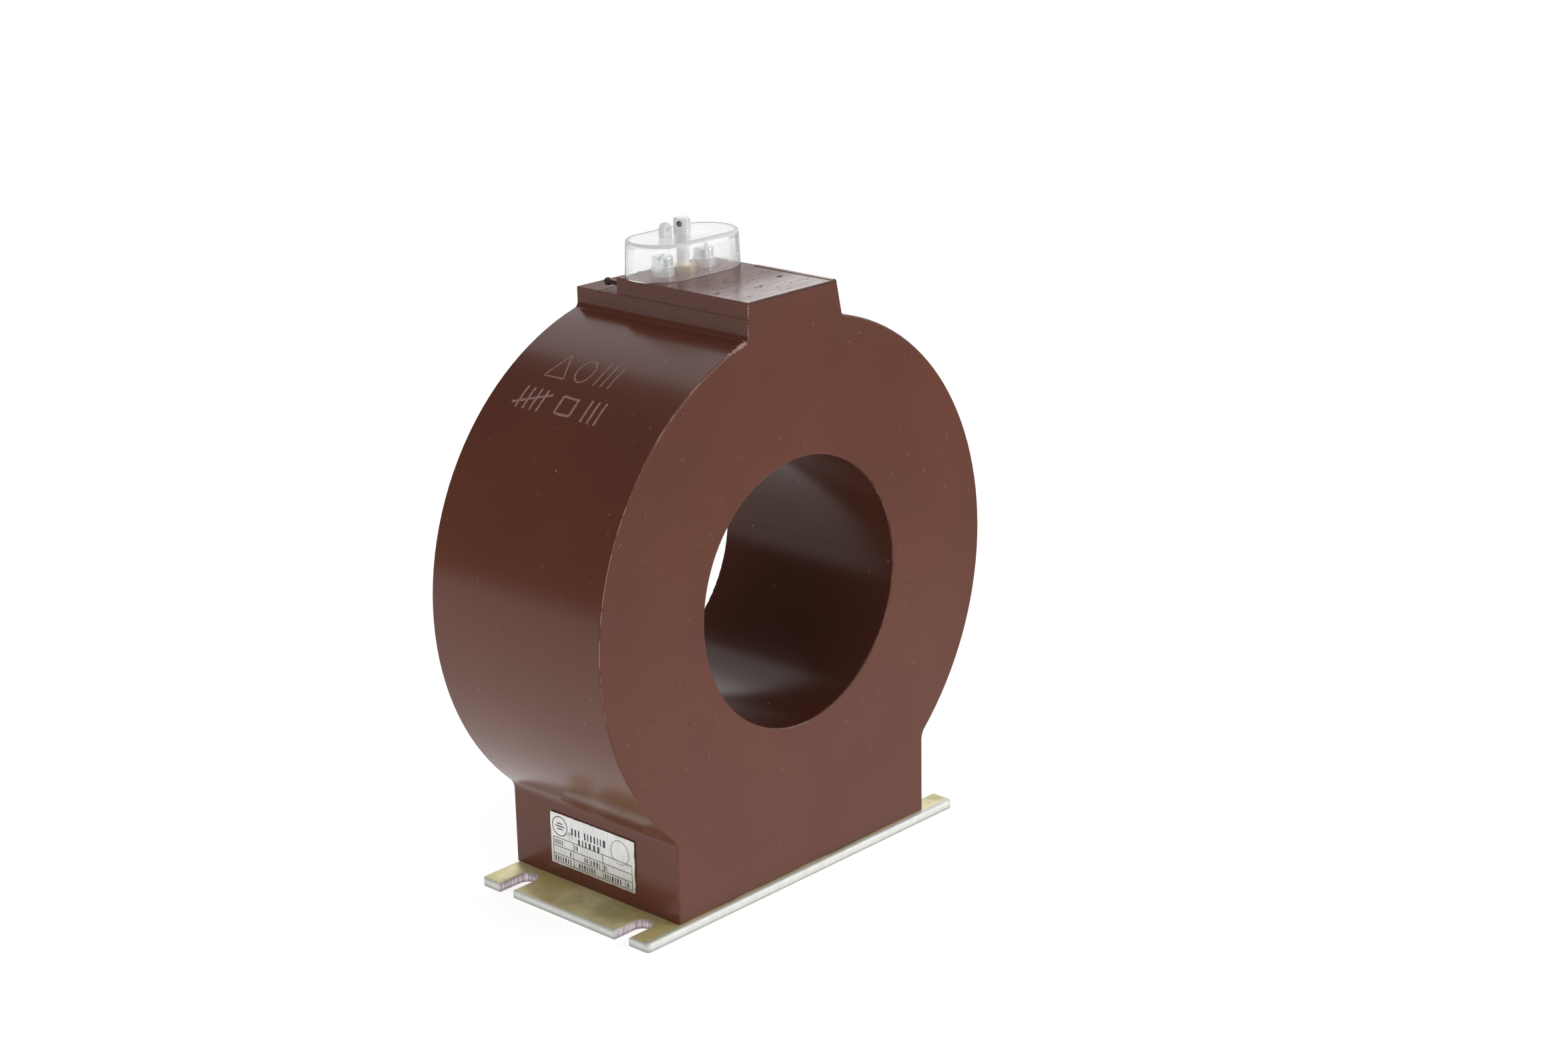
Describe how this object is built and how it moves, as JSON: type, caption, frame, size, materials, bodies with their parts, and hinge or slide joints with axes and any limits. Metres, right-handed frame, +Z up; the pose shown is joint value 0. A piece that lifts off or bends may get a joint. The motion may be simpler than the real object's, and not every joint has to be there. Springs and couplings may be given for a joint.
{
  "type": "indoor current transformer",
  "caption": "Resin-cast ring current transformer with a round primary window, slotted base plate, riveted rating plate and sealed clear terminal cover.",
  "frame": {"origin": "under the base plate, on its bottom face, straight below the middle of the casting and of the primary window", "axes": "+Z up, the way it stands; +Y along the primary window's axis, from the side with the high terminal block end towards the side with the ledge; +X along the base plate"},
  "size_m": [0.241, 0.105, 0.288],
  "materials": {
    "resin": "satin cast epoxy, brown, rough pour face on the terminal block",
    "zinc_plate": "yellow passivated zinc on steel, mottled",
    "label_metal": "thin anodised aluminium, satin",
    "rivet_metal": "bright drive rivets",
    "clear_cover": "clear moulded plastic, glossy",
    "bright_steel": "turned bright steel",
    "terminal_zinc": "blue passivated zinc",
    "brass": "turned brass",
    "dark_brass": "darkened brass",
    "screw_steel": "zinc plated steel",
    "core_steel": "strip-wound silicon steel, edges seen",
    "enamelled_copper": "enamelled copper wire wound close",
    "insulating_tape": "woven insulating tape",
    "lead_sleeve": "insulated lead wire"
  },
  "bodies": {
    "root": {"resin_casting": "resin", "toroidal_core": "core_steel", "core_insulation": "insulating_tape", "secondary_winding": "enamelled_copper", "winding_tape": "insulating_tape", "winding_lead_left": "lead_sleeve", "winding_lead_right": "lead_sleeve", "terminal_bush_left": "terminal_zinc", "terminal_bush_right": "terminal_zinc", "terminal_flat_washers": "terminal_zinc", "terminal_spring_washers": "terminal_zinc", "terminal_screws": "terminal_zinc", "cover_insert": "brass", "sealing_screw": "bright_steel", "terminal_cover": "clear_cover", "side_screw": "dark_brass", "base_plate": "zinc_plate", "base_plate_screws": "screw_steel", "base_plate_inserts": "brass", "rating_plate": "label_metal", "rating_plate_rivets": "rivet_metal"}
  },
  "joints": []
}
